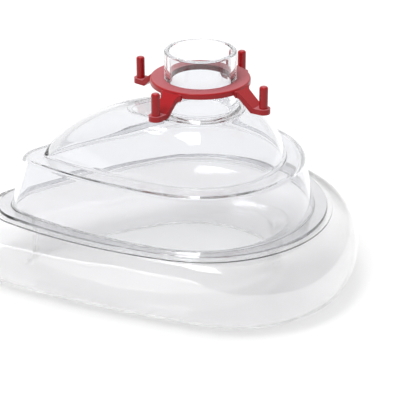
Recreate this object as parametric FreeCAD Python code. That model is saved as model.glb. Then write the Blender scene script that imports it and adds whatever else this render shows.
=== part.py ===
"""Face mask for giving oxygen, adult size, in three pieces.

A clear moulded shell rises in three steps from a flat flange to a round neck
that takes a 22 mm breathing connector. A clear inflated cushion is bonded
under the flange and meets the face. A one-piece plastic hook ring is pushed
over the neck and rests on its shoulder; a head harness hooks on its four pins.

Millimetres, +Z up. The mask stands on its cushion at z = 0 with the nose end
towards -X and the chin end towards +X, and the origin is the middle of its
base. All plan outlines are closed loops of tangent arcs, laid out from the
neck axis.
"""
import FreeCAD, Part
import os
from collections import namedtuple
from math import atan2, cos, hypot, pi, radians, sin, sqrt

# Heights of the steps, from the face side up
cushion_height = 26.0
flange_thickness = 1.3
lower_wall_height = 19.2
upper_dome_height = 18.0
pad_thickness = 0.6
neck_height = 21.4

# Walls and edges of the shell
shell_wall = 1.6
ledge_round = 1.8
pad_round = 0.4

# Plan of the main ledge, which the other steps are offset from
ledge_chin_radius = 38.5
ledge_flank_radius = 170.0
ledge_nose_radius = 8.5
ledge_nose_reach = 65.1
chin_arc_deg = 26.5

# Steps between the ledge and its neighbours, at the sides and at the nose
ledge_width = 7.1
ledge_nose_width = 7.9
dome_nose_radius = 3.0
dome_nose_swell = 10.0
dome_fullness = 1.55
lower_wall_spread = 4.0
lower_wall_nose_spread = 5.4
flange_width = 3.5
flange_chin_shift = 1.5
flange_nose_width = 5.0
cushion_rim_margin = 1.4
cushion_rim_chin_shift = 0.5
cushion_rim_nose_margin = 2.0

# Pad that the neck stands on
pad_chin_radius = 16.3
pad_flank_radius = 70.0
pad_nose_radius = 7.0
pad_nose_reach = 26.5

# Neck and its 22 mm female cone
neck_outer_diameter = 26.0
socket_mouth_diameter = 22.37
socket_taper = 1.0 / 40.0
socket_depth = 16.5
socket_chamfer = 0.35
neck_lip_round = 0.55
shoulder_width = 0.9
shoulder_height = 9.45
foot_flare = 1.7

# Inflated cushion
cushion_film = 1.0
cushion_widest_height = 11.5
cushion_chin_bulge = 9.9
cushion_nose_bulge = 8.5
cushion_chin_radius = 72.0
cushion_corner_radius = 44.0
cushion_flank_radius = 400.0
cushion_nose_radius = 25.0
cushion_outer_roll = 11.0
cushion_inner_roll = 6.5
cushion_fullness = 2.25

# Opening for the face, at its narrowest
opening_chin_reach = 27.5
opening_chin_radius = 31.5
opening_flank_radius = 150.0
opening_nose_radius = 7.0
opening_nose_reach = 62.0

# Hook ring
ring_outer_diameter = 36.3
ring_thickness = 2.0
ring_neck_clearance = 0.15
ring_round = 0.6
hook_count = 4
hook_first_deg = 53.4
hook_circle_diameter = 54.0
hook_pin_diameter = 3.1
hook_pin_height = 8.1
hook_pin_round = 0.8
tab_radius = 2.5
tab_thickness = 1.9
tab_drop = 6.1
arm_root_width = 6.0
arm_root_depth = 2.0
arm_root_flare = 1.4
arm_top_inset = 0.7
arm_top_bend_inset = 0.2
arm_under_bend_inset = 1.1
arm_foot_bend_inset = 2.6

# How far a cutting solid runs past what it cuts
cut_overshoot = 1.0
# How closely an edge has to lie at a height to count as being there
height_tolerance = 1e-6
# How far the middle of a quarter arc stands off its corner, for a radius of 1
arc_bow = 1.0 - sqrt(0.5)

# Heights worked out from the steps
flange_base_z = cushion_height
flange_top_z = flange_base_z + flange_thickness
ledge_z = flange_top_z + lower_wall_height
dome_top_z = ledge_z + upper_dome_height
pad_z = dome_top_z + pad_thickness
rim_z = pad_z + neck_height
shoulder_z = pad_z + shoulder_height

Outline = namedtuple("Outline", "chin_tip chin_r corner_r corner_deg flank_r nose_r nose_tip")


def grow(outline, side, nose=None, nose_round=None, chin_shift=0.0):
    """Offset an outline outwards, by its own amounts at the sides and the nose."""
    nose = side if nose is None else nose
    nose_round = side if nose_round is None else nose_round
    return Outline(
        outline.chin_tip + side + chin_shift,
        outline.chin_r + side,
        outline.corner_r + side,
        outline.corner_deg,
        outline.flank_r + side,
        outline.nose_r + nose_round,
        outline.nose_tip - nose,
    )


def mix(first, last, share):
    """The outline that lies the given share of the way from first to last."""
    return Outline(*[a + (b - a) * share for a, b in zip(first, last)])


def closed_wire(corners, curves):
    """Wire through corners; curves gives the middle of an arc that leaves a corner, by its index."""
    edges = []
    for i, start in enumerate(corners):
        end = corners[(i + 1) % len(corners)]
        if i in curves:
            edges.append(Part.Arc(start, curves[i], end).toShape())
        else:
            edges.append(Part.LineSegment(start, end).toShape())
    return Part.Wire(edges)


def outline_wire(outline, z):
    """Closed wire of six tangent arcs: chin, corner, flank, nose, flank, corner."""
    chin = (outline.chin_tip - outline.chin_r, 0.0)
    turn = radians(outline.corner_deg)
    inset = outline.chin_r - outline.corner_r
    corner = (chin[0] + inset * cos(turn), inset * sin(turn))
    nose = (outline.nose_tip + outline.nose_r, 0.0)

    # The flank arc touches the corner and nose arcs from outside, which places its centre
    to_corner = outline.flank_r - outline.corner_r
    to_nose = outline.flank_r - outline.nose_r
    span = hypot(nose[0] - corner[0], nose[1] - corner[1])
    along = (to_corner ** 2 - to_nose ** 2 + span ** 2) / (2.0 * span)
    across = sqrt(to_corner ** 2 - along ** 2)
    unit = ((nose[0] - corner[0]) / span, (nose[1] - corner[1]) / span)
    flank = (
        corner[0] + along * unit[0] - across * unit[1],
        corner[1] + along * unit[1] + across * unit[0],
    )
    corner_end = atan2(corner[1] - flank[1], corner[0] - flank[0])
    nose_start = atan2(nose[1] - flank[1], nose[0] - flank[0])

    def arc(centre, radius, start, end, side=1.0):
        points = []
        for angle in (start, 0.5 * (start + end), end):
            x = centre[0] + radius * cos(angle)
            y = side * (centre[1] + radius * sin(angle))
            points.append(FreeCAD.Vector(x, y, z))
        return Part.Arc(*points).toShape()

    return Part.Wire([
        arc(chin, outline.chin_r, -turn, turn),
        arc(corner, outline.corner_r, turn, corner_end),
        arc(flank, outline.flank_r, corner_end, nose_start),
        arc(nose, outline.nose_r, nose_start, 2.0 * pi - nose_start),
        arc(flank, outline.flank_r, nose_start, corner_end, -1.0),
        arc(corner, outline.corner_r, corner_end, turn, -1.0),
    ])


def prism(outline, z_low, z_high):
    """Solid of one outline carried straight up."""
    face = Part.Face(outline_wire(outline, z_low))
    return face.extrude(FreeCAD.Vector(0, 0, z_high - z_low))


def loft(sections, ruled=False):
    """Solid through (outline, z) sections, from the lowest up."""
    return Part.makeLoft([outline_wire(outline, z) for outline, z in sections], True, ruled)


def edges_at(shape, z):
    """Edges that lie flat at one height."""
    found = []
    for edge in shape.Edges:
        box = edge.BoundBox
        if abs(box.ZMin - z) < height_tolerance and abs(box.ZMax - z) < height_tolerance:
            found.append(edge)
    return found


def quarter(outer, inner, z_outer, z_inner, fullness, steps=6):
    """Sections of a quarter roll, upright at the outer outline, flat at the inner one.

    Fullness is 2 for an ellipse, less for a straighter side and more for a fuller one.
    """
    sections = []
    for i in range(steps + 1):
        angle = 0.5 * pi * i / steps
        reach = cos(angle) ** (2.0 / fullness)
        rise = sin(angle) ** (2.0 / fullness)
        sections.append((mix(inner, outer, reach), z_outer + (z_inner - z_outer) * rise))
    return sections


def turned(points, curves=None):
    """Solid of revolution about the neck axis from (radius, z) corners and arc middles."""
    corners = [FreeCAD.Vector(r, 0, z) for r, z in points]
    middles = {i: FreeCAD.Vector(r, 0, z) for i, (r, z) in (curves or {}).items()}
    face = Part.Face(closed_wire(corners, middles))
    return face.revolve(FreeCAD.Vector(0, 0, 0), FreeCAD.Vector(0, 0, 1), 360)


# Plan outlines of the steps
ledge = Outline(
    ledge_chin_radius, ledge_chin_radius, ledge_chin_radius, chin_arc_deg,
    ledge_flank_radius, ledge_nose_radius, -ledge_nose_reach,
)
pad = Outline(
    pad_chin_radius, pad_chin_radius, pad_chin_radius, chin_arc_deg,
    pad_flank_radius, pad_nose_radius, -pad_nose_reach,
)
dome_base = grow(ledge, -ledge_width, -ledge_nose_width, dome_nose_radius - ledge_nose_radius)
lower_base = grow(ledge, lower_wall_spread, lower_wall_nose_spread)
flange = grow(lower_base, flange_width, flange_nose_width, flange_width, flange_chin_shift)
rim = grow(
    flange, cushion_rim_margin, cushion_rim_nose_margin,
    cushion_rim_nose_margin, cushion_rim_chin_shift,
)
widest = Outline(
    rim.chin_tip + cushion_chin_bulge, cushion_chin_radius, cushion_corner_radius,
    chin_arc_deg, cushion_flank_radius, cushion_nose_radius,
    rim.nose_tip - cushion_nose_bulge,
)
opening = Outline(
    opening_chin_reach, opening_chin_radius, opening_chin_radius, chin_arc_deg,
    opening_flank_radius, opening_nose_radius, -opening_nose_reach,
)
# The base of the mask is centred on the origin, so the neck stands off it
neck_x = -0.5 * (widest.chin_tip + widest.nose_tip)


def make_neck():
    """Neck wall outside its socket: lip, grip length, shoulder and flared foot."""
    outer = 0.5 * neck_outer_diameter
    shoulder = outer + shoulder_width
    foot = shoulder + foot_flare
    lip = neck_lip_round
    points = [
        (0.0, dome_top_z),
        (foot, dome_top_z),
        (foot, pad_z),
        (shoulder, pad_z + foot_flare),
        (shoulder, shoulder_z),
        (outer, shoulder_z),
        (outer, rim_z - lip),
        (outer - lip, rim_z),
        (0.0, rim_z),
    ]
    foot_corner = points.index((foot, pad_z))
    lip_corner = points.index((outer, rim_z - lip))
    return turned(points, {
        foot_corner: (shoulder + foot_flare * arc_bow, pad_z + foot_flare * arc_bow),
        lip_corner: (outer - lip * arc_bow, rim_z - lip * arc_bow),
    })


def make_socket():
    """Space inside the neck: 1 in 40 cone from the mouth, then straight to the dome."""
    mouth = 0.5 * socket_mouth_diameter
    bottom = mouth - 0.5 * socket_taper * socket_depth
    floor_z = dome_top_z - shell_wall - cut_overshoot
    return turned([
        (0.0, floor_z),
        (bottom, floor_z),
        (bottom, rim_z - socket_depth),
        (mouth, rim_z),
        (mouth, rim_z + cut_overshoot),
        (0.0, rim_z + cut_overshoot),
    ])


def make_mouth_chamfer():
    """Cone of 45 degrees that breaks the inner edge of the neck's rim and runs on past it."""
    mouth = 0.5 * socket_mouth_diameter
    return turned([
        (0.0, rim_z - socket_chamfer),
        (mouth, rim_z - socket_chamfer),
        (mouth + 2.0 * socket_chamfer, rim_z + socket_chamfer),
        (0.0, rim_z + socket_chamfer),
    ])


def make_dome(inset):
    """Upper dome from its base up to the pad, straighter than an ellipse, broad-nosed halfway up."""
    low = grow(dome_base, -inset)
    high = grow(pad, -inset)
    sections = []
    for section, z in quarter(low, high, ledge_z - inset, dome_top_z - inset, dome_fullness):
        reach = (section.chin_tip - high.chin_tip) / (low.chin_tip - high.chin_tip)
        swell = 4.0 * dome_nose_swell * reach * (1.0 - reach)
        sections.append((section._replace(nose_r=section.nose_r + swell), z))
    return loft(sections)


def make_dome_shell():
    """The clear shell: stepped outside, less the same steps one wall further in."""
    lower = loft([(lower_base, flange_top_z), (ledge, ledge_z)], ruled=True)
    lower = lower.makeFillet(ledge_round, edges_at(lower, ledge_z))
    top_pad = prism(pad, dome_top_z - 0.5 * pad_thickness, pad_z)
    top_pad = top_pad.makeFillet(pad_round, edges_at(top_pad, pad_z))
    shell = prism(flange, flange_base_z, flange_top_z)
    for piece in (lower, make_dome(0.0), top_pad, make_neck()):
        shell = shell.fuse(piece)

    inner_lower = loft([
        (grow(lower_base, -shell_wall), flange_base_z - cut_overshoot),
        (grow(lower_base, -shell_wall), flange_top_z),
        (grow(ledge, -shell_wall), ledge_z - shell_wall),
    ], ruled=True)
    inner_pad_z = dome_top_z - shell_wall
    inner_pad = prism(grow(pad, -shell_wall), inner_pad_z - cut_overshoot, pad_z - shell_wall)
    for space in (inner_lower, make_dome(shell_wall), inner_pad, make_socket(), make_mouth_chamfer()):
        shell = shell.cut(space)
    return shell.removeSplitter()


def ring_solid(outer, inner):
    """Solid between two lofted walls that start and end at the same heights, closed by flat rings."""
    walls = []
    for sections in (outer, inner):
        wires = [outline_wire(outline, z) for outline, z in sections]
        walls.append(Part.makeLoft(wires, False, False))
    faces = walls[0].Faces + walls[1].Faces
    for z in (outer[0][1], outer[-1][1]):
        rims = [Part.Wire(Part.sortEdges(edges_at(wall, z))[0]) for wall in walls]
        faces.append(Part.makeFace(rims, "Part::FaceMakerBullseye"))
    shell = Part.makeShell(faces)
    shell.sewShape()
    solid = Part.makeSolid(shell)
    if solid.Volume < 0:
        solid.reverse()
    return solid


def cushion_body(film):
    """Outside of the cushion, or its air space when film is its thickness."""
    top_z = cushion_height - film
    wide = grow(widest, -film)
    outer_foot = grow(widest, -cushion_outer_roll)
    outer = quarter(wide, grow(rim, -film), cushion_widest_height, top_z, cushion_fullness)
    outer_under = quarter(wide, outer_foot, cushion_widest_height, film, cushion_fullness)

    narrow = grow(opening, film)
    inner_foot = grow(opening, cushion_inner_roll)
    inner_top = grow(lower_base, film - shell_wall)
    inner = quarter(narrow, inner_top, cushion_widest_height, top_z, cushion_fullness)
    inner_under = quarter(narrow, inner_foot, cushion_widest_height, film, cushion_fullness)
    return ring_solid(outer_under[:0:-1] + outer, inner_under[:0:-1] + inner)


def make_cushion():
    """Clear cushion: a closed film ring round the face opening, full of air."""
    return cushion_body(0.0).cut(cushion_body(cushion_film))


def make_strap(root_r, ring_r, pin_r, tab_top_z):
    """Side profile of a hook's arm and tab, carried across wider than the arm."""
    tab_low_z = tab_top_z - tab_thickness
    tab_tip_r = pin_r + tab_radius
    foot_bend_r = pin_r - arm_foot_bend_inset
    arm_top_z = shoulder_z + ring_thickness - arm_top_inset
    width = 2.0 * (arm_root_width + arm_root_flare)
    corners = [
        (root_r, shoulder_z),
        (root_r, arm_top_z),
        (ring_r - arm_top_bend_inset, arm_top_z),
        (foot_bend_r, tab_top_z),
        (tab_tip_r, tab_top_z),
        (tab_tip_r, tab_low_z),
        (foot_bend_r - 0.5 * tab_thickness, tab_low_z),
        (ring_r - arm_under_bend_inset, shoulder_z),
    ]
    side = closed_wire([FreeCAD.Vector(r, -0.5 * width, z) for r, z in corners], {})
    return Part.Face(side).extrude(FreeCAD.Vector(0, width, 0))


def make_arm_plan(root_r, ring_r, pin_r):
    """Plan of a hook's arm, flared into the ring and rounded at the tab, carried straight up."""
    half = 0.5 * arm_root_width
    root_half = half + arm_root_flare
    flare_r = ring_r + arm_root_flare
    bow = arm_root_flare * arc_bow
    corners = [
        (root_r, -root_half),
        (ring_r, -root_half),
        (flare_r, -half),
        (pin_r, -tab_radius),
        (pin_r, tab_radius),
        (flare_r, half),
        (ring_r, root_half),
        (root_r, root_half),
    ]
    middles = {
        1: FreeCAD.Vector(ring_r + bow, -half - bow, 0),
        3: FreeCAD.Vector(pin_r + tab_radius, 0, 0),
        5: FreeCAD.Vector(ring_r + bow, half + bow, 0),
    }
    plan = closed_wire([FreeCAD.Vector(x, y, 0) for x, y in corners], middles)
    return Part.Face(plan).extrude(FreeCAD.Vector(0, 0, rim_z))


def make_hook(angle_deg):
    """One hook: a strap arm stepping down from the ring to a tab with an upright pin."""
    ring_r = 0.5 * ring_outer_diameter
    root_r = ring_r - arm_root_depth
    pin_r = 0.5 * hook_circle_diameter
    tab_top_z = shoulder_z + ring_thickness - tab_drop
    arm = make_strap(root_r, ring_r, pin_r, tab_top_z).common(make_arm_plan(root_r, ring_r, pin_r))

    pin_foot_z = tab_top_z - 0.5 * tab_thickness
    pin_top_z = tab_top_z + hook_pin_height
    pin = Part.makeCylinder(
        0.5 * hook_pin_diameter, pin_top_z - pin_foot_z, FreeCAD.Vector(pin_r, 0, pin_foot_z),
    )
    pin = pin.makeFillet(hook_pin_round, edges_at(pin, pin_top_z))
    hook = arm.fuse(pin)
    hook.rotate(FreeCAD.Vector(0, 0, 0), FreeCAD.Vector(0, 0, 1), angle_deg)
    return hook


def make_hook_ring():
    """Flat ring on the neck's shoulder with its hooks moulded on."""
    hole = 0.5 * neck_outer_diameter + ring_neck_clearance
    base = FreeCAD.Vector(0, 0, shoulder_z)
    below = FreeCAD.Vector(0, 0, shoulder_z - cut_overshoot)
    ring = Part.makeCylinder(0.5 * ring_outer_diameter, ring_thickness, base)
    ring = ring.makeFillet(ring_round, edges_at(ring, shoulder_z + ring_thickness))
    for i in range(hook_count):
        ring = ring.fuse(make_hook(hook_first_deg + 360.0 * i / hook_count))
    bore = Part.makeCylinder(hole, ring_thickness + 2.0 * cut_overshoot, below)
    return ring.cut(bore).removeSplitter()


os.makedirs("parts", exist_ok=True)
makers = {
    "dome_shell": make_dome_shell,
    "cushion": make_cushion,
    "hook_ring": make_hook_ring,
}
for node, make in makers.items():
    solid = make()
    if solid.ShapeType == "Compound" and len(solid.Solids) == 1:
        solid = solid.Solids[0]
    solid.translate(FreeCAD.Vector(neck_x, 0, 0))
    solid.exportStep(f"parts/{node}.step")
    box = solid.BoundBox
    print(
        f"{node}: valid {solid.isValid()}, solids {len(solid.Solids)}, faces {len(solid.Faces)}, "
        f"volume {solid.Volume / 1000:.2f} cm3, "
        f"x {box.XMin:.1f} to {box.XMax:.1f}, y {box.YMin:.1f} to {box.YMax:.1f}, "
        f"z {box.ZMin:.1f} to {box.ZMax:.1f}"
    )
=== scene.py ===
"""Clear face mask with an inflated cushion and a red hook ring, on a white studio floor.

The shell's and the cushion's sizes are millimetres, turned into metres where their mesh is
made. Bump heights, the ring's edges and the studio are metres. +Z is up along the neck,
+X is the chin end and -X the nose end.
"""
from math import cos, radians, sin

import bmesh
import bpy
import numpy as np
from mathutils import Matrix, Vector


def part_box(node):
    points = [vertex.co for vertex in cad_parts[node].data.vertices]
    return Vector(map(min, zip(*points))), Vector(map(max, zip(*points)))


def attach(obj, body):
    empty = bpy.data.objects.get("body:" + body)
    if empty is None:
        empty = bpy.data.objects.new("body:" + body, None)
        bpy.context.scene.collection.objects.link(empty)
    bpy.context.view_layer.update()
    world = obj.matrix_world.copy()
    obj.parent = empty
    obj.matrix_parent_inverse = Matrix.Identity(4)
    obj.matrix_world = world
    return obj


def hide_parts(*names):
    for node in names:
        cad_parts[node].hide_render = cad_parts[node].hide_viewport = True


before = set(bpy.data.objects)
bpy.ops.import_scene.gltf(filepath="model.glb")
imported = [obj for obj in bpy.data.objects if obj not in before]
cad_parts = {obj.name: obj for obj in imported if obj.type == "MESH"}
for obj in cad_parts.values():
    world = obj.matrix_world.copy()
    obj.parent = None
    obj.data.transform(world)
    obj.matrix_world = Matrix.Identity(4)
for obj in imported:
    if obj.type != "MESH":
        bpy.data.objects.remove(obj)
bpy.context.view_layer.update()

# The shell is one clear injection moulding: flange, drafted lower wall, flat ledge, domed
# upper tier, raised pad and the neck that takes a breathing connector. Its wall is even,
# so the inside repeats the outside one wall further in.
MM = 0.001
shell_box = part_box("dome_shell")
ring_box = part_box("hook_ring")
flange_z = shell_box[0].z / MM
rim_z = shell_box[1].z / MM
neck_x = 0.5 * (ring_box[0].x + ring_box[1].x) / MM
# The hook pins' tops stand this far above the shoulder that carries their ring
pin_rise = 4.0
shoulder_z = ring_box[1].z / MM - pin_rise
neck_height = 21.4
flange_thickness = 1.3
lower_wall_height = 19.2
upper_dome_height = 18.0
shell_wall = 1.6
pad_z = rim_z - neck_height
flange_top_z = flange_z + flange_thickness
ledge_z = flange_top_z + lower_wall_height
dome_top_z = ledge_z + upper_dome_height
# Room that keeps two touching faces from lying in one plane
seat_gap = 0.04

flange_round = 0.5
wall_foot_round = 0.6
ledge_round = 1.8
dome_foot_round = 0.8
pad_foot_round = 0.1
pad_round = 0.25
inner_round = 0.5
inner_pad_round = 0.15
dome_fullness = 1.55
dome_nose_swell = 10.0
shoulder_radius = 13.9
shoulder_round = 0.2
neck_radius = 13.0
neck_foot_round = 1.6
neck_lip_round = 0.55
mouth_radius = 11.185
mouth_chamfer = 0.35
mouth_round = 0.1
socket_bottom_radius = 10.979
socket_bend_round = 3.0
socket_depth = 16.5
# Flat room left on each side of a rounded corner
hold = 0.12
chin_samples = 14
corner_samples = 44
flank_samples = 40
nose_samples = 30
round_steps = 8
dome_steps = 60
# Where the nose radius stands among an outline's values
nose_radius_place = 5


def outline(chin_tip, chin_r, corner_r, corner_deg, flank_r, nose_r, nose_tip):
    """A plan outline as an array: reach, radii and angle of its arcs from chin to nose."""
    return np.array([chin_tip, chin_r, corner_r, corner_deg, flank_r, nose_r, nose_tip], float)


def spread(base, side, nose=None, nose_round=None, chin_shift=0.0):
    """An outline moved outwards by its own amounts at the sides and at the nose."""
    nose = side if nose is None else nose
    nose_round = side if nose_round is None else nose_round
    return base + [side + chin_shift, side, side, 0.0, side, nose_round, -nose]


def plan_points(rows):
    """Points of outlines, one row each. The chin, corner, flank and nose arcs of the +Y half
    are each swept evenly in angle, the flank's centre being where a circle of its radius
    touches both neighbours from outside, and the -Y half is the same mirrored."""
    tip, chin_r, corner_r, corner_deg, flank_r, nose_r, nose_tip = [c[:, None] for c in rows.T]
    turn = np.radians(corner_deg)
    chin_x = tip - chin_r
    corner_x = chin_x + (chin_r - corner_r) * np.cos(turn)
    corner_y = (chin_r - corner_r) * np.sin(turn)
    nose_x = nose_tip + nose_r
    to_corner = flank_r - corner_r
    to_nose = flank_r - nose_r
    span = np.hypot(nose_x - corner_x, corner_y)
    along = (to_corner ** 2 - to_nose ** 2 + span ** 2) / (2 * span)
    across = np.sqrt(to_corner ** 2 - along ** 2)
    unit_x = (nose_x - corner_x) / span
    unit_y = -corner_y / span
    flank_x = corner_x + along * unit_x - across * unit_y
    flank_y = corner_y + along * unit_y + across * unit_x
    corner_end = np.arctan2(corner_y - flank_y, corner_x - flank_x)
    nose_start = np.arctan2(-flank_y, nose_x - flank_x)
    zero = np.zeros_like(tip)
    arcs = (
        (chin_x, zero, chin_r, zero, turn, chin_samples),
        (corner_x, corner_y, corner_r, turn, corner_end, corner_samples),
        (flank_x, flank_y, flank_r, corner_end, nose_start, flank_samples),
        (nose_x, zero, nose_r, nose_start, zero + np.pi, nose_samples),
    )
    half = []
    for x, y, radius, start, end, count in arcs:
        angle = start + (end - start) * np.arange(count) / count
        half.append(np.stack([x + radius * np.cos(angle), y + radius * np.sin(angle)], -1))
    half.append(np.stack([nose_tip, zero], -1))
    half = np.concatenate(half, axis=1)
    return np.concatenate([half, half[:, -2:0:-1] * [1, -1]], axis=1)


def rounded(corners, radii):
    """Rows along a path whose inner corners are rounded. Each round is a circle's arc, a
    rational quadratic between the points where it leaves and joins the path, with a holding
    row beyond either end. Distances are taken in the first column and the last."""
    rows = [corners[:1]]
    t = np.linspace(0, 1, round_steps)[:, None]
    for before, corner, after, radius in zip(corners, corners[1:], corners[2:], radii):
        back, on = before - corner, after - corner
        back = back / np.hypot(back[0], back[-1])
        on = on / np.hypot(on[0], on[-1])
        half = 0.5 * np.arccos(np.clip(back[0] * on[0] + back[-1] * on[-1], -1, 1))
        reach = radius / np.tan(half)
        weights = np.hstack([(1 - t) ** 2, 2 * t * (1 - t) * np.sin(half), t ** 2])
        ends = np.stack([corner + back * reach, corner, corner + on * reach])
        rows.append((corner + back * (reach + hold))[None])
        rows.append(weights @ ends / weights.sum(1, keepdims=True))
        rows.append((corner + on * (reach + hold))[None])
    rows.append(corners[-1:])
    return np.concatenate(rows)


def quarter_rows(outer, inner, z_outer, z_inner, fullness=2.0, steps=30):
    """Rows of a quarter roll, a superellipse that is upright at the outer outline and flat
    at the inner. A fullness of 2 is an ellipse, less is straighter and more is squarer."""
    angle = np.linspace(0, 0.5 * np.pi, steps)[:, None]
    reach = np.clip(np.cos(angle), 0, 1) ** (2 / fullness)
    rise = np.sin(angle) ** (2 / fullness)
    return np.hstack([inner + (outer - inner) * reach, z_outer + (z_inner - z_outer) * rise])


def rings_of(rows):
    """Closed loops of points, one for each row of outline and height."""
    flat = plan_points(rows[:, :-1])
    height = np.repeat(rows[:, -1:], flat.shape[1], axis=1)
    return np.concatenate([flat, height[..., None]], axis=2)


def closed_mesh(name, surfaces):
    """Mesh of grids that join up both round the plan and round the section. A grid's faces
    turn by the sign of its volume: out of the plastic, or into the air of a void."""
    points, faces, start = [], [], 0
    for grid, is_void in surfaces:
        index = np.arange(grid.shape[0] * grid.shape[1]).reshape(grid.shape[:2])
        below = np.roll(index, -1, 0)
        quads = np.stack([index, np.roll(index, -1, 1), np.roll(below, -1, 1), below], -1)
        quads = quads.reshape(-1, 4)
        flat = grid.reshape(-1, 3)
        a, b, c, d = (flat[quads[:, k]] for k in range(4))
        volume = (np.cross(a, b) * c).sum() + (np.cross(a, c) * d).sum()
        if (volume < 0) != is_void:
            quads = quads[:, ::-1]
        points.append(flat)
        faces.append(quads + start)
        start += len(flat)
    mesh = bpy.data.meshes.new(name)
    place = (np.concatenate(points) + [neck_x, 0, 0]) * MM
    mesh.from_pydata(place.tolist(), [], np.concatenate(faces).tolist())
    mesh.polygons.foreach_set("use_smooth", np.ones(len(mesh.polygons), bool))
    mesh.update()
    piece = bpy.data.objects.new(name, mesh)
    bpy.context.scene.collection.objects.link(piece)
    return piece


wave_detail = 1.0
grain_scale = 1400.0
grain_detail = 3.0
# Share of the roughness by which it falls and rises along the wave
gloss_spread = 0.5
coat_roughness = 0.03


def clear_plastic(
    name, tint, clearness, ior, roughness, coat, wave_scale, wave_height, grain_height,
):
    """Clear plastic that lets light through, with a slight haze for the rest of its clearness.
    Its surface has the slow wave left by moulding and a fine grain, both as bump in metres,
    and its gloss varies slightly with the wave. A coat keeps a blurred film glossy."""
    material = bpy.data.materials.new(name)
    material.use_nodes = True
    nodes, links = material.node_tree.nodes, material.node_tree.links
    shader = nodes["Principled BSDF"]
    shader.inputs["Base Color"].default_value = (*tint, 1)
    shader.inputs["Transmission Weight"].default_value = clearness
    shader.inputs["IOR"].default_value = ior
    place = nodes.new("ShaderNodeTexCoord")
    normal = None
    for scale, detail, height in (
        (wave_scale, wave_detail, wave_height),
        (grain_scale, grain_detail, grain_height),
    ):
        texture = nodes.new("ShaderNodeTexNoise")
        texture.inputs["Scale"].default_value = scale
        texture.inputs["Detail"].default_value = detail
        links.new(place.outputs["Object"], texture.inputs["Vector"])
        bump = nodes.new("ShaderNodeBump")
        bump.inputs["Strength"].default_value = 1.0
        bump.inputs["Distance"].default_value = height
        links.new(texture.outputs["Fac"], bump.inputs["Height"])
        if normal is None:
            gloss = nodes.new("ShaderNodeMapRange")
            gloss.inputs["To Min"].default_value = (1 - gloss_spread) * roughness
            gloss.inputs["To Max"].default_value = (1 + gloss_spread) * roughness
            links.new(texture.outputs["Fac"], gloss.inputs["Value"])
            links.new(gloss.outputs["Result"], shader.inputs["Roughness"])
        else:
            links.new(normal, bump.inputs["Normal"])
        normal = bump.outputs["Normal"]
    links.new(normal, shader.inputs["Normal"])
    shader.inputs["Coat Weight"].default_value = coat
    shader.inputs["Coat Roughness"].default_value = coat_roughness
    return material


def at(base, z):
    """One row: an outline with its height."""
    return np.append(base, z)


def dome_rows(foot, top, z_foot, z_top, top_round):
    """Rows of the upper dome, straighter than an ellipse. The nose radius swells as a parabola
    and is largest halfway in. Rows replaced by the rounds at its foot and top are left out."""
    rows = quarter_rows(foot, top, z_foot, z_top, dome_fullness, dome_steps)
    reach = (rows[:, 0] - top[0]) / (foot[0] - top[0])
    rows[:, nose_radius_place] += 4 * dome_nose_swell * reach * (1 - reach)
    above = rows[:, -1] > z_foot + dome_foot_round + 2 * hold
    beside = rows[:, 0] > top[0] + top_round + 2 * hold
    return rows[above & beside]


# Angle at which the chin's arc gives way to the corner's, the same on every outline
corner_turn = 26.5
ledge = outline(
    chin_tip=38.5, chin_r=38.5, corner_r=38.5, corner_deg=corner_turn,
    flank_r=170.0, nose_r=8.5, nose_tip=-65.1,
)
pad = outline(
    chin_tip=16.3, chin_r=16.3, corner_r=16.3, corner_deg=corner_turn,
    flank_r=70.0, nose_r=7.0, nose_tip=-26.5,
)
dome_base = spread(ledge, side=-7.1, nose=-7.9, nose_round=-5.5)
lower_base = spread(ledge, side=4.0, nose=5.4)
flange = spread(lower_base, side=3.5, nose=5.0, nose_round=3.5, chin_shift=1.5)

inner_foot = spread(lower_base, -shell_wall)
inner_ledge = spread(ledge, -shell_wall)
inner_dome = spread(dome_base, -shell_wall)
inner_pad = spread(pad, -shell_wall)
inner_ledge_z = ledge_z - shell_wall
inner_dome_z = dome_top_z - shell_wall
inner_pad_z = pad_z - shell_wall
# The section starts and ends on this line under the flange
flange_middle = spread(inner_foot, side=1.5)
# Length of the helper runs that only give a corner its direction
lead = 2.0

outside_low = rounded(np.array([
    at(flange_middle, flange_z),
    at(flange, flange_z),
    at(flange, flange_top_z),
    at(lower_base, flange_top_z),
    at(ledge, ledge_z),
    at(dome_base, ledge_z),
    at(dome_base, ledge_z + lead),
]), (flange_round, flange_round, wall_foot_round, ledge_round, dome_foot_round))[:-1]
outside_dome = dome_rows(dome_base, pad, ledge_z, dome_top_z, pad_foot_round)
outside_pad = rounded(np.array([
    at(spread(pad, lead), dome_top_z),
    at(pad, dome_top_z),
    at(pad, pad_z),
    at(spread(pad, -pad_round - hold), pad_z),
]), (pad_foot_round, pad_round))[1:-1]

inside_pad = rounded(np.array([
    at(spread(inner_pad, -inner_pad_round - 2 * hold), inner_pad_z),
    at(inner_pad, inner_pad_z),
    at(inner_pad, inner_dome_z),
    at(spread(inner_pad, lead), inner_dome_z),
]), (inner_pad_round, inner_pad_round))[:-1]
inside_dome = dome_rows(
    inner_dome, inner_pad, inner_ledge_z, inner_dome_z, inner_pad_round,
)[::-1]
inside_low = rounded(np.array([
    at(inner_dome, inner_ledge_z + lead),
    at(inner_dome, inner_ledge_z),
    at(inner_ledge, inner_ledge_z),
    at(inner_foot, flange_top_z),
    at(inner_foot, flange_z),
    at(flange_middle, flange_z),
]), (dome_foot_round, inner_round, inner_round, flange_round))[1:-1]

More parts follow.
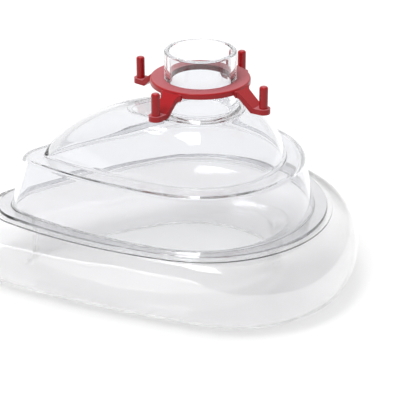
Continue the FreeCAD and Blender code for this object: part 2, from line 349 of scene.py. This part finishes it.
neck_profile = rounded(np.array([
    (shoulder_radius + neck_foot_round + hold, pad_z),
    (shoulder_radius, pad_z),
    (shoulder_radius, shoulder_z - seat_gap),
    (neck_radius, shoulder_z - seat_gap),
    (neck_radius, rim_z),
    (mouth_radius + mouth_chamfer, rim_z),
    (mouth_radius, rim_z - mouth_chamfer),
    (socket_bottom_radius, rim_z - socket_depth),
    (socket_bottom_radius, inner_pad_z),
    (neck_radius, inner_pad_z),
]), (
    neck_foot_round, shoulder_round, shoulder_round, neck_lip_round, mouth_round,
    mouth_round, socket_bend_round, inner_round,
))[:-1]
# The neck's circles keep the pad outline's directions, so the grid runs on without a twist
pad_loop = plan_points(pad[None])[0]
heading = np.arctan2(pad_loop[:, 1], pad_loop[:, 0])
neck_rings = np.stack([
    neck_profile[:, :1] * np.cos(heading),
    neck_profile[:, :1] * np.sin(heading),
    neck_profile[:, 1:] + 0 * heading,
], -1)

shell = closed_mesh("shell", [(np.concatenate([
    rings_of(np.concatenate([outside_low, outside_dome, outside_pad])),
    neck_rings,
    rings_of(np.concatenate([inside_pad, inside_dome, inside_low])),
]), False)])
shell.data.materials.append(clear_plastic(
    "clear_moulding", tint=(0.862, 0.867, 0.881), clearness=1.0, ior=1.42, roughness=0.008,
    coat=0.0, wave_scale=70.0, wave_height=0.00003, grain_height=0.000001,
))
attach(shell, "root")
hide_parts("dome_shell")

# The cushion is a closed ring of clear film blown full of air and bonded under the flange.
# It is widest a little below half its height, rolls in to the face opening and rests on a
# flat band. The film is softer and less even than the shell.
film = 1.0
widest_z = 11.5
fullness = 2.25
outer_roll = 11.0
inner_roll = 6.5
chin_bulge = 9.9
nose_bulge = 8.5
# The film's bonded edge stands out from under the flange as a thin lip
lip_height = 0.3
lip_width = 0.35
film_wobble = 0.12
# Each wave is a count round the plan, a strength, a slant per millimetre up and a start
film_waves = ((5, 1.0, 0.0, 0.7), (9, 0.7, 0.22, 0.0), (17, 0.4, -0.3, 0.0))
# The waves run round a middle that lies this far along X from the neck's axis
wave_middle = -13.0
wave_fade_power = 1.5

rim = spread(flange, side=1.4, nose=2.0, nose_round=2.0, chin_shift=0.5)
rim_chin, rim_nose = rim[0], rim[-1]
widest = outline(
    chin_tip=rim_chin + chin_bulge, chin_r=72.0, corner_r=44.0, corner_deg=corner_turn,
    flank_r=400.0, nose_r=25.0, nose_tip=rim_nose - nose_bulge,
)
opening = outline(
    chin_tip=27.5, chin_r=31.5, corner_r=31.5, corner_deg=corner_turn,
    flank_r=150.0, nose_r=7.0, nose_tip=-62.0,
)


def cushion_rows(inset):
    """Rows once round the cushion's section: up the outer side, in over the flat top, down the
    inner side and back under, each side made of two quarter rolls. The outside has the lip, and
    an inset gives the void."""
    top_z = flange_z - seat_gap - inset
    wide = spread(widest, -inset)
    narrow = spread(opening, inset)
    outer_foot = spread(widest, -outer_roll)
    inner_low = spread(opening, inner_roll)
    inner_top = spread(lower_base, inset - shell_wall)
    if inset:
        top = quarter_rows(wide, spread(rim, -inset), widest_z, top_z, fullness)
    else:
        low_z = top_z - lip_height
        top = np.concatenate([
            quarter_rows(wide, spread(rim, hold), widest_z, low_z, fullness),
            quarter_rows(rim, spread(rim, -lip_width), low_z, top_z, steps=round_steps),
            at(spread(rim, -lip_width - hold), top_z)[None],
        ])
    return np.concatenate([
        quarter_rows(wide, outer_foot, widest_z, inset, fullness)[:0:-1],
        top,
        quarter_rows(narrow, inner_top, widest_z, top_z, fullness)[:0:-1],
        quarter_rows(narrow, inner_low, widest_z, inset, fullness),
    ])


def blown(rings):
    """Rings with the film's slow unevenness: a few sine waves round the plan and up the side,
    moved level and outwards, and fading to nothing where the cushion is bonded or rests."""
    x, y, z = rings[..., 0], rings[..., 1], rings[..., 2]
    around = np.arctan2(y, x - wave_middle)
    wave = sum(
        strength * np.sin(count * around + slant * z + start)
        for count, strength, slant, start in film_waves
    )
    rise = np.clip(np.sin(np.pi * np.clip(z / flange_z, 0, 1)), 0, 1)
    push = film_wobble * wave * rise ** wave_fade_power
    moved = rings.copy()
    moved[..., 0] += push * np.cos(around)
    moved[..., 1] += push * np.sin(around)
    return moved


cushion = closed_mesh("cushion_film", [
    (blown(rings_of(cushion_rows(0.0))), False),
    (blown(rings_of(cushion_rows(film))), True),
])
cushion.data.materials.append(clear_plastic(
    "clear_film", tint=(0.98, 0.978, 0.985), clearness=0.99, ior=1.36, roughness=0.16,
    coat=1.0, wave_scale=60.0, wave_height=0.00004, grain_height=0.000002,
))
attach(cushion, "root")
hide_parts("cushion")

# The hook ring is one red moulding pushed down the neck onto its shoulder: a flat ring with
# four strap arms that step down to tabs, each with an upright round-topped pin. Its top face
# has a fine matt finish and is painted paler, a painted sheen for the light that falls on it
# from above, and its edges are slightly softened.
weld_distance = 0.000002
sharp_angle = radians(35)
edge_round = 0.00013
# Height of a face's unit normal where it begins to count as a level top, taking the painted
# paler sheen and the matt roughness, and where it counts fully
level_begins = 0.95
level_full = 0.995
# The grain's scale and detail serve both the matt bump and the specks of the painted sheen
matt_and_sheen_scale = 2600.0
matt_and_sheen_detail = 2.0
matt_height = 0.00003
# Least share of the painted paler sheen on a level top, where the grain breaks it into specks
least_sheen_share = 0.75
edge_roughness = 0.28
top_roughness = 0.6
red_specular = 0.35

welded = bmesh.new()
welded.from_mesh(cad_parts["hook_ring"].data)
bmesh.ops.remove_doubles(welded, verts=welded.verts, dist=weld_distance)
for face in welded.faces:
    face.smooth = True
for edge in welded.edges:
    edge.smooth = len(edge.link_faces) == 2 and edge.calc_face_angle() < sharp_angle
ring_mesh = bpy.data.meshes.new("red_ring")
welded.to_mesh(ring_mesh)
welded.free()
ring = bpy.data.objects.new("red_ring", ring_mesh)
bpy.context.scene.collection.objects.link(ring)
softened = ring.modifiers.new("softened_edges", "BEVEL")
softened.width = edge_round
softened.segments = 2
softened.limit_method = "ANGLE"
softened.angle_limit = sharp_angle
softened.harden_normals = True


def red_plastic(name, edge_colour, painted_sheen_colour):
    """Red plastic whose level top faces are matt and painted paler, a painted sheen for the
    light that falls on them from above, mixed in by how far the surface faces up, with a fine
    grain as bump that also breaks the painted sheen into specks."""
    material = bpy.data.materials.new(name)
    material.use_nodes = True
    nodes, links = material.node_tree.nodes, material.node_tree.links
    shader = nodes["Principled BSDF"]
    place = nodes.new("ShaderNodeTexCoord")
    grain = nodes.new("ShaderNodeTexNoise")
    grain.inputs["Scale"].default_value = matt_and_sheen_scale
    grain.inputs["Detail"].default_value = matt_and_sheen_detail
    links.new(place.outputs["Object"], grain.inputs["Vector"])
    geometry = nodes.new("ShaderNodeNewGeometry")
    split = nodes.new("ShaderNodeSeparateXYZ")
    links.new(geometry.outputs["Normal"], split.inputs["Vector"])
    level = nodes.new("ShaderNodeMapRange")
    level.inputs["From Min"].default_value = level_begins
    level.inputs["From Max"].default_value = level_full
    links.new(split.outputs["Z"], level.inputs["Value"])
    speckle = nodes.new("ShaderNodeMapRange")
    speckle.inputs["To Min"].default_value = least_sheen_share
    speckle.inputs["To Max"].default_value = 1.0
    links.new(grain.outputs["Fac"], speckle.inputs["Value"])
    share = nodes.new("ShaderNodeMath")
    share.operation = "MULTIPLY"
    links.new(level.outputs["Result"], share.inputs[0])
    links.new(speckle.outputs["Result"], share.inputs[1])
    # Painted sheen: the paler top colour stands in for the light from above on level top faces
    colour = nodes.new("ShaderNodeMix")
    colour.data_type = "RGBA"
    colour.inputs["A"].default_value = (*edge_colour, 1)
    colour.inputs["B"].default_value = (*painted_sheen_colour, 1)
    links.new(share.outputs["Value"], colour.inputs["Factor"])
    links.new(colour.outputs["Result"], shader.inputs["Base Color"])
    shader.inputs["Specular IOR Level"].default_value = red_specular
    gloss = nodes.new("ShaderNodeMapRange")
    gloss.inputs["To Min"].default_value = edge_roughness
    gloss.inputs["To Max"].default_value = top_roughness
    links.new(level.outputs["Result"], gloss.inputs["Value"])
    links.new(gloss.outputs["Result"], shader.inputs["Roughness"])
    bump = nodes.new("ShaderNodeBump")
    bump.inputs["Distance"].default_value = matt_height
    links.new(grain.outputs["Fac"], bump.inputs["Height"])
    links.new(bump.outputs["Normal"], shader.inputs["Normal"])
    return material


# The top colour is a painted sheen, paler where the light from above falls on the level top
ring_mesh.materials.append(red_plastic(
    "red_moulding", edge_colour=(0.37, 0.008, 0.012), painted_sheen_colour=(0.44, 0.125, 0.14),
))
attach(ring, "root")
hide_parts("hook_ring")

# The studio is a wide white floor with a white backdrop behind and dimmer sides and front,
# so that clear edges show as fine lines. A window and a pane light it from above, a lamp
# from the left and a low strip from the front left. The camera has the photograph's view.
floor_half = 6.0
# The floor lies this far under the cushion, so that the two don't share a plane
floor_drop = 0.0002
floor_mesh = bpy.data.meshes.new("floor")
floor_mesh.from_pydata([
    (x * floor_half, y * floor_half, -floor_drop)
    for x, y in ((-1, -1), (1, -1), (1, 1), (-1, 1))
], [], [(0, 1, 2, 3)])
floor = bpy.data.objects.new("floor", floor_mesh)
bpy.context.scene.collection.objects.link(floor)


def calculate(tree, operation, *values):
    """Socket of a Math node. A value is a number or another socket."""
    node = tree.nodes.new("ShaderNodeMath")
    node.operation = operation
    for socket, value in zip(node.inputs, values):
        if isinstance(value, bpy.types.NodeSocket):
            tree.links.new(value, socket)
        else:
            socket.default_value = value
    return node.outputs["Value"]


# The floor is a grey that takes the mask's shadow, and it glows as the camera sees it and
# as the clear plastic shows it
floor_grey = 0.38
floor_glow = 0.63
glass_glow = 0.75
white = bpy.data.materials.new("white_floor")
white.use_nodes = True
tree = white.node_tree
tree.nodes.clear()
diffuse = tree.nodes.new("ShaderNodeBsdfDiffuse")
diffuse.inputs["Color"].default_value = (floor_grey, floor_grey, floor_grey, 1)
glow = tree.nodes.new("ShaderNodeEmission")
glow.inputs["Color"].default_value = (1, 1, 1, 1)
path = tree.nodes.new("ShaderNodeLightPath").outputs
through = calculate(tree, "MAXIMUM", path["Is Glossy Ray"], path["Is Transmission Ray"])
tree.links.new(calculate(
    tree, "MAXIMUM",
    calculate(tree, "MULTIPLY", path["Is Camera Ray"], floor_glow),
    calculate(tree, "MULTIPLY", through, glass_glow),
), glow.inputs["Strength"])
both = tree.nodes.new("ShaderNodeAddShader")
surface = tree.nodes.new("ShaderNodeOutputMaterial")
tree.links.new(diffuse.outputs["BSDF"], both.inputs[0])
tree.links.new(glow.outputs["Emission"], both.inputs[1])
tree.links.new(both.outputs["Shader"], surface.inputs["Surface"])
floor_mesh.materials.append(white)

# Brightness of the surround straight behind, at the sides and in front, and as even light
backdrop = 0.98
dim_side = 0.32
even_light = 0.72
# The backdrop is full from this Y of a unit direction on, and fades from there to the sides
full_backdrop = 0.75
world = bpy.data.worlds.new("studio")
bpy.context.scene.world = world
world.use_nodes = True
tree = world.node_tree
direction = tree.nodes.new("ShaderNodeTexCoord")
split = tree.nodes.new("ShaderNodeSeparateXYZ")
tree.links.new(direction.outputs["Generated"], split.inputs["Vector"])
ramp = tree.nodes.new("ShaderNodeMapRange")
ramp.interpolation_type = "SMOOTHSTEP"
ramp.inputs["From Min"].default_value = 0.0
ramp.inputs["From Max"].default_value = full_backdrop
ramp.inputs["To Min"].default_value = dim_side
ramp.inputs["To Max"].default_value = backdrop
tree.links.new(split.outputs["Y"], ramp.inputs["Value"])
path = tree.nodes.new("ShaderNodeLightPath").outputs
surround = calculate(tree, "MAXIMUM", ramp.outputs["Result"], path["Is Camera Ray"])
even = calculate(tree, "MULTIPLY", path["Is Diffuse Ray"], even_light)
not_diffuse = calculate(tree, "SUBTRACT", 1.0, path["Is Diffuse Ray"])
reflected = calculate(tree, "MULTIPLY", surround, not_diffuse)
background = tree.nodes["Background"]
background.inputs["Color"].default_value = (1, 1, 1, 1)
tree.links.new(calculate(tree, "ADD", even, reflected), background.inputs["Strength"])


def soft_lamp(name, place, tilt, turn, width, height, power):
    """A flat soft lamp. A tilt of 0 faces down and one of 90 is level, towards +Y when its
    turn is 0."""
    light = bpy.data.lights.new(name, "AREA")
    light.shape = "RECTANGLE"
    light.size = width
    light.size_y = height
    light.energy = power
    lamp = bpy.data.objects.new(name, light)
    lamp.location = place
    lamp.rotation_euler = (radians(tilt), 0, radians(turn))
    bpy.context.scene.collection.objects.link(lamp)
    return lamp


soft_lamp(
    "overhead", place=(-0.17, 0.06, 1.5), tilt=0, turn=0,
    width=0.36, height=1.15, power=7.0,
)
soft_lamp(
    "overhead_pane", place=(-0.42, 0.12, 1.5), tilt=0, turn=0,
    width=0.1, height=0.3, power=0.5,
)
shadow_lamp = soft_lamp(
    "left", place=(-0.6, -0.5, 1.25), tilt=32, turn=-50,
    width=0.5, height=0.5, power=8.5,
)
strip_lamp = soft_lamp(
    "front_left_strip", place=(-0.86, -0.83, 0.1), tilt=90, turn=-46,
    width=0.9, height=0.05, power=0.8,
)
# The strip draws the long highlight on the cushion and is linked to the cushion alone
strip_lit = bpy.data.collections.new("strip_lit")
strip_lit.objects.link(cushion)
strip_lamp.light_linking.receiver_collection = strip_lit
# The left lamp only casts the shadow at the right, without a highlight of its own
shadow_lamp.visible_glossy = False
shadow_lamp.visible_transmission = False

# Light caught inside a clear wall is turned many times before it leaves
wall_bounces = 26
cycles = bpy.context.scene.cycles
cycles.max_bounces = wall_bounces
cycles.glossy_bounces = wall_bounces
cycles.transmission_bounces = wall_bounces

frame_pixels = 400
focal_pixels = 1395
camera_place = (0.00004, -0.47153, 0.25227)
pitch = radians(25.5)
yaw = radians(1.6)
camera = bpy.data.objects.new("camera", bpy.data.cameras.new("camera"))
camera.data.sensor_width = 36.0
camera.data.lens = camera.data.sensor_width * focal_pixels / frame_pixels
camera.location = camera_place
camera.rotation_euler = Vector((
    sin(yaw) * cos(pitch), cos(yaw) * cos(pitch), -sin(pitch),
)).to_track_quat("-Z", "Y").to_euler()
bpy.context.scene.collection.objects.link(camera)
bpy.context.scene.camera = camera
bpy.context.scene.view_settings.view_transform = "Standard"
